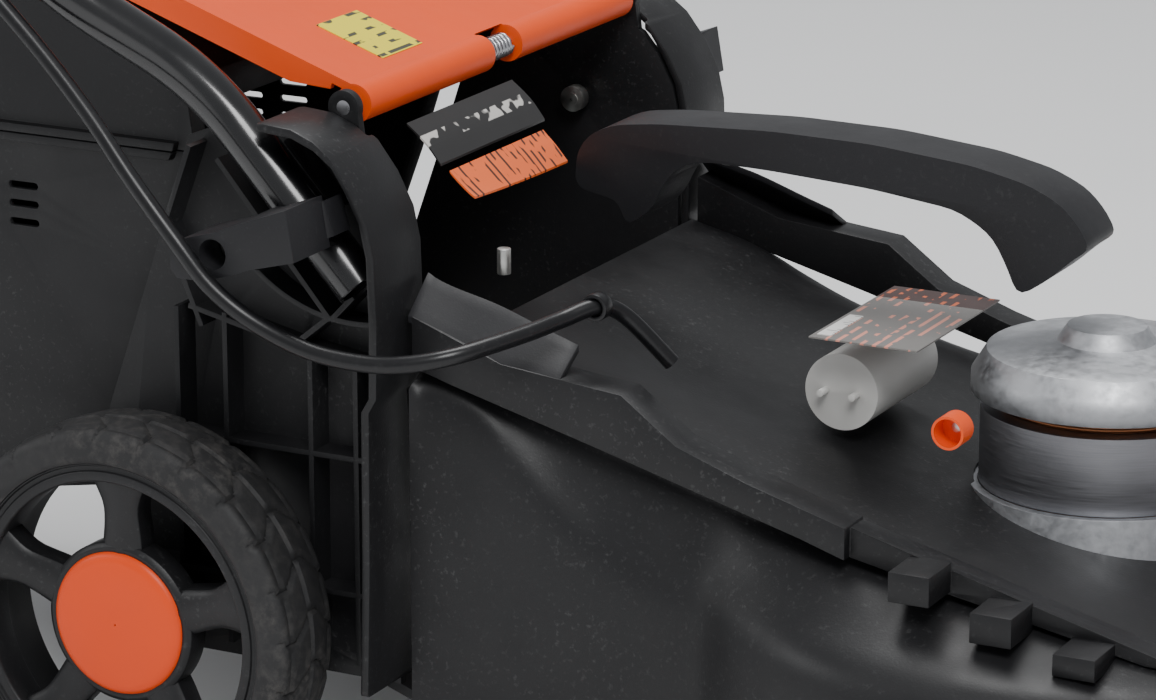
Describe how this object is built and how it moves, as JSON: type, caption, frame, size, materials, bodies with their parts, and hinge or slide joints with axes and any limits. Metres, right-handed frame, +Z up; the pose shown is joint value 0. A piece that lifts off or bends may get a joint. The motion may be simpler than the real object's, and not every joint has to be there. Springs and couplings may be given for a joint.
{
  "type": "push lawn mower",
  "caption": "Corded electric push lawn mower: round blade deck, ribbed rear frame, orange cover with carry handle, rear flap, hard grass box, folding tube handle.",
  "frame": {"origin": "ground level, on the mid plane, halfway between the front of the deck and the back of the grip bar; the rear axle is above it", "axes": "+X forward, +Y to the mower's left, +Z up"},
  "size_m": [1.1969, 0.406, 0.8832],
  "materials": {
    "orange_cover": "satin moulded ABS, softly glossy",
    "orange_cap": "satin moulded plastic",
    "orange_button": "satin moulded plastic",
    "black_shell": "fine-grained moulded polypropylene",
    "black_box": "fine-grained moulded polypropylene",
    "black_grip": "fine-grained moulded plastic with softly worn edges",
    "black_rim": "satin moulded plastic",
    "tyre_rubber": "moulded rubber with dust in the tread",
    "rubber_lead": "smooth round rubber cable",
    "rubber_black": "matt rubber",
    "black_tube": "glossy black powder coat",
    "steel": "drawn bar",
    "zinc_screw": "zinc plated",
    "blade_steel": "black painted steel with a ground cutting edge",
    "cast_alu": "cast",
    "lamination": "varnished electrical steel stack",
    "copper_wire": "enamelled copper wire",
    "white_case": "smooth moulded plastic",
    "red_case": "smooth moulded plastic"
  },
  "bodies": {
    "chassis": {"deck_shell": "black_shell", "rear_frame": "black_shell", "arch_band_right": "black_shell", "arch_band_left": "black_shell", "top_cover": "orange_cover", "side_rail_right": "black_shell", "side_rail_left": "black_shell", "carry_handle": "black_grip", "motor_lower_bell": "cast_alu", "motor_upper_bell": "cast_alu", "stator_core": "lamination", "stator_windings": "copper_wire", "lower_bearing": "steel", "upper_bearing": "steel", "capacitor": "white_case", "motor_screws": "zinc_screw", "cover_screws": "zinc_screw", "front_axle": "steel", "rear_axle": "steel", "hinge_rod": "steel", "flap_spring": "steel", "lower_tube_right": "black_tube", "lower_tube_left": "black_tube", "lever_screws": "zinc_screw", "pivot_bolts": "zinc_screw", "lead_gland": "rubber_black", "motor_lead_lower": "rubber_lead", "motor_lead_bend": "rubber_lead"},
    "blade_rotor": {"rotor_core": "lamination", "motor_shaft": "steel", "cooling_fan": "black_shell", "blade_carrier": "cast_alu", "blade": "blade_steel", "blade_bolt": "zinc_screw"},
    "rear_right_wheel": {"rear_right_tyre": "tyre_rubber", "rear_right_rim": "black_rim", "rear_right_cap": "orange_cap"},
    "rear_left_wheel": {"rear_left_tyre": "tyre_rubber", "rear_left_rim": "black_rim", "rear_left_cap": "orange_cap"},
    "front_right_wheel": {"front_right_tyre": "tyre_rubber", "front_right_rim": "black_rim", "front_right_cap": "orange_cap"},
    "front_left_wheel": {"front_left_tyre": "tyre_rubber", "front_left_rim": "black_rim", "front_left_cap": "orange_cap"},
    "flap": {"rear_flap": "orange_cover"},
    "grass_box": {"grass_box_body": "black_box", "grass_box_lid": "black_box"},
    "lever_right": {"clamp_lever_right": "black_grip"},
    "lever_left": {"clamp_lever_left": "black_grip"},
    "handle": {"upper_handle": "black_tube", "switch_box": "black_grip", "micro_switch": "red_case", "mains_inlet": "black_grip", "motor_lead_upper": "rubber_lead"},
    "bail": {"bail_lever": "black_tube"},
    "button": {"lock_button": "orange_button"},
    "wing_knob_right": {"knob_right": "black_grip"},
    "wing_knob_left": {"knob_left": "black_grip"}
  },
  "joints": [
    {"name": "blade_spin", "type": "hinge", "parent": "chassis", "child": "blade_rotor", "pos_m": [0.36, 0, 0.1], "axis": [0, 0, 1], "continuous": true},
    {"name": "rear_right_roll", "type": "hinge", "parent": "chassis", "child": "rear_right_wheel", "pos_m": [0, 0, 0.085], "axis": [0, 1, 0], "continuous": true},
    {"name": "rear_left_roll", "type": "hinge", "parent": "chassis", "child": "rear_left_wheel", "pos_m": [0, 0, 0.085], "axis": [0, 1, 0], "continuous": true},
    {"name": "front_right_roll", "type": "hinge", "parent": "chassis", "child": "front_right_wheel", "pos_m": [0.53, 0, 0.065], "axis": [0, 1, 0], "continuous": true},
    {"name": "front_left_roll", "type": "hinge", "parent": "chassis", "child": "front_left_wheel", "pos_m": [0.53, 0, 0.065], "axis": [0, 1, 0], "continuous": true},
    {"name": "flap_open", "type": "hinge", "parent": "chassis", "child": "flap", "pos_m": [0.081, 0, 0.3], "axis": [0, 1, 0], "range_deg": [0, 72], "stiffness_Nm_per_rad": 0.12, "springref_deg": -34.38},
    {"name": "box_slide", "type": "slide", "parent": "chassis", "child": "grass_box", "axis": [-1, 0, 0], "range_m": [0, 0.25]},
    {"name": "lever_right_swing", "type": "hinge", "parent": "chassis", "child": "lever_right", "pos_m": [0.0605, -0.178, 0.253], "axis": [0, -1, 0], "range_deg": [0, 50]},
    {"name": "lever_left_swing", "type": "hinge", "parent": "chassis", "child": "lever_left", "pos_m": [0.0605, 0.178, 0.253], "axis": [0, -1, 0], "range_deg": [0, 50]},
    {"name": "handle_fold", "type": "hinge", "parent": "chassis", "child": "handle", "pos_m": [-0.225, 0, 0.532], "axis": [0, 1, 0], "range_deg": [0, 145], "deforming": ["motor_lead_bend"]},
    {"name": "bail_squeeze", "type": "hinge", "parent": "handle", "child": "bail", "pos_m": [-0.51334, 0, 0.79162], "axis": [0, -1, 0], "range_deg": [0, 21], "stiffness_Nm_per_rad": 0.6, "springref_deg": -28.65},
    {"name": "button_press", "type": "slide", "parent": "handle", "child": "button", "axis": [-0.6691, 0, -0.7431], "range_m": [0, 0.005], "stiffness_N_per_m": 300, "springref_m": -0.003},
    {"name": "knob_right_turn", "type": "hinge", "parent": "chassis", "child": "wing_knob_right", "pos_m": [-0.225, -0.19, 0.532], "axis": [0, 1, 0], "range_deg": [0, 180]},
    {"name": "knob_left_turn", "type": "hinge", "parent": "chassis", "child": "wing_knob_left", "pos_m": [-0.225, 0.19, 0.532], "axis": [0, 1, 0], "range_deg": [0, 180]}
  ]
}
